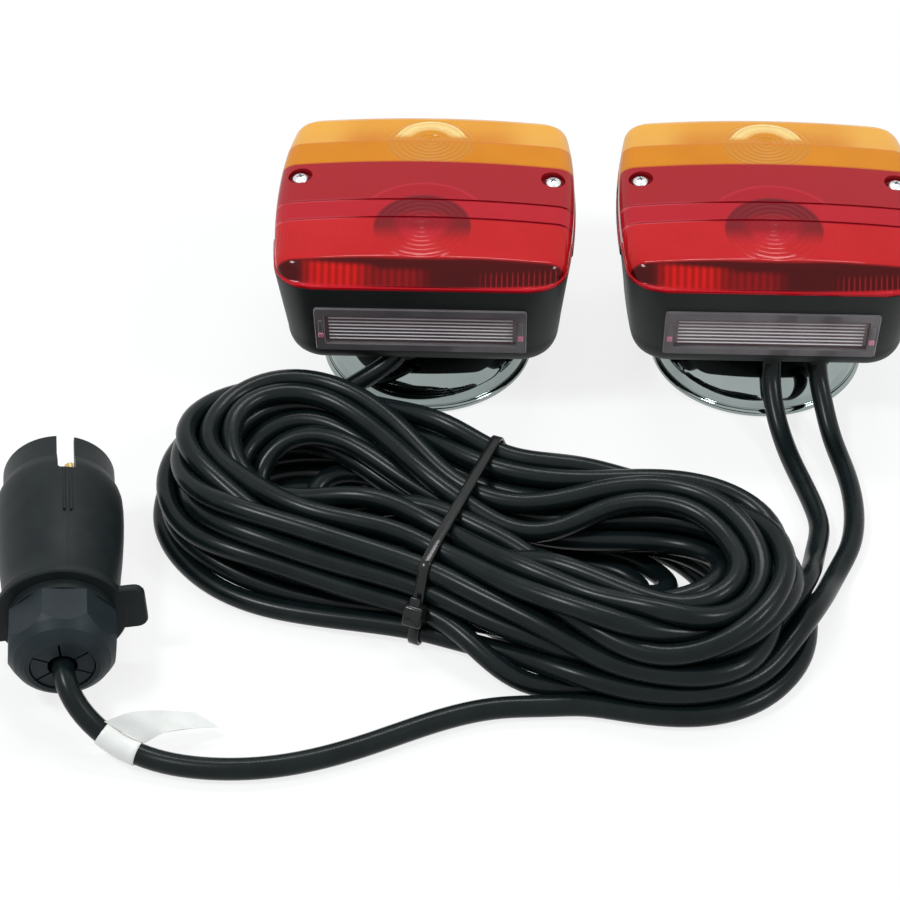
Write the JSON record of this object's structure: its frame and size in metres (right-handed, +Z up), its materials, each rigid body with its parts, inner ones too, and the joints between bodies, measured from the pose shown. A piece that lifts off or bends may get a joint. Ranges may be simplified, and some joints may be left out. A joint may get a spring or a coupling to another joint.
{
  "type": "magnetic towing light set",
  "caption": "Pair of rear lamps on magnet feet with red and amber lenses, a trailer plug and its black cable in a tied hank.",
  "frame": {"origin": "on the ground midway between the two lamps", "axes": "+X to the right lamp, +Y away from the plug end, +Z up out of the lenses"},
  "size_m": [0.3274, 0.2724, 0.072],
  "materials": {
    "black_plastic": "satin",
    "white_plastic": "satin",
    "black_rubber": "matte",
    "zinc_steel": "satin",
    "ferrite": "matte",
    "chrome": "polished",
    "bulb_glass": "polished",
    "brass": "satin",
    "red_lens": "gloss",
    "amber_lens": "gloss",
    "clear_window": "gloss",
    "plug_plastic": "matte",
    "insert_plastic": "matte",
    "gland_plastic": "satin",
    "cable_sheath": "satin",
    "tie_plastic": "satin",
    "label_film": "satin"
  },
  "bodies": {
    "root": {"left_magnet_pad": "black_rubber", "left_pole_plate": "zinc_steel", "left_ring_magnet": "ferrite", "left_magnet_cup": "chrome", "left_magnet_bolt": "zinc_steel", "left_magnet_spacer": "black_rubber", "left_magnet_nut": "zinc_steel", "left_housing": "black_plastic", "left_cable_grommets": "black_rubber", "left_bulb_carrier": "white_plastic", "left_stop_socket": "zinc_steel", "left_indicator_socket": "zinc_steel", "left_stop_bulb": "bulb_glass", "left_indicator_bulb": "bulb_glass", "left_stop_cap": "brass", "left_indicator_cap": "brass", "left_terminal_block": "white_plastic", "left_lens_gasket": "black_rubber", "left_red_lens": "red_lens", "left_amber_lens": "amber_lens", "left_plate_window": "clear_window", "left_lens_screws": "zinc_steel", "right_magnet_pad": "black_rubber", "right_pole_plate": "zinc_steel", "right_ring_magnet": "ferrite", "right_magnet_cup": "chrome", "right_magnet_bolt": "zinc_steel", "right_magnet_spacer": "black_rubber", "right_magnet_nut": "zinc_steel", "right_housing": "black_plastic", "right_cable_grommets": "black_rubber", "right_bulb_carrier": "white_plastic", "right_stop_socket": "zinc_steel", "right_indicator_socket": "zinc_steel", "right_stop_bulb": "bulb_glass", "right_indicator_bulb": "bulb_glass", "right_stop_cap": "brass", "right_indicator_cap": "brass", "right_terminal_block": "white_plastic", "right_lens_gasket": "black_rubber", "right_red_lens": "red_lens", "right_amber_lens": "amber_lens", "right_plate_window": "clear_window", "right_lens_screws": "zinc_steel", "plug_body": "plug_plastic", "plug_insert": "insert_plastic", "contact_pins": "brass", "terminal_screws": "zinc_steel", "gland_seal": "black_rubber", "gland_collet": "gland_plastic", "gland_nut": "gland_plastic", "plug_lead": "cable_sheath", "cable_hank": "cable_sheath", "right_main_lead": "cable_sheath", "right_link_lead": "cable_sheath", "left_link_lead": "cable_sheath", "cable_tie": "tie_plastic", "cable_label": "label_film"}
  },
  "joints": []
}
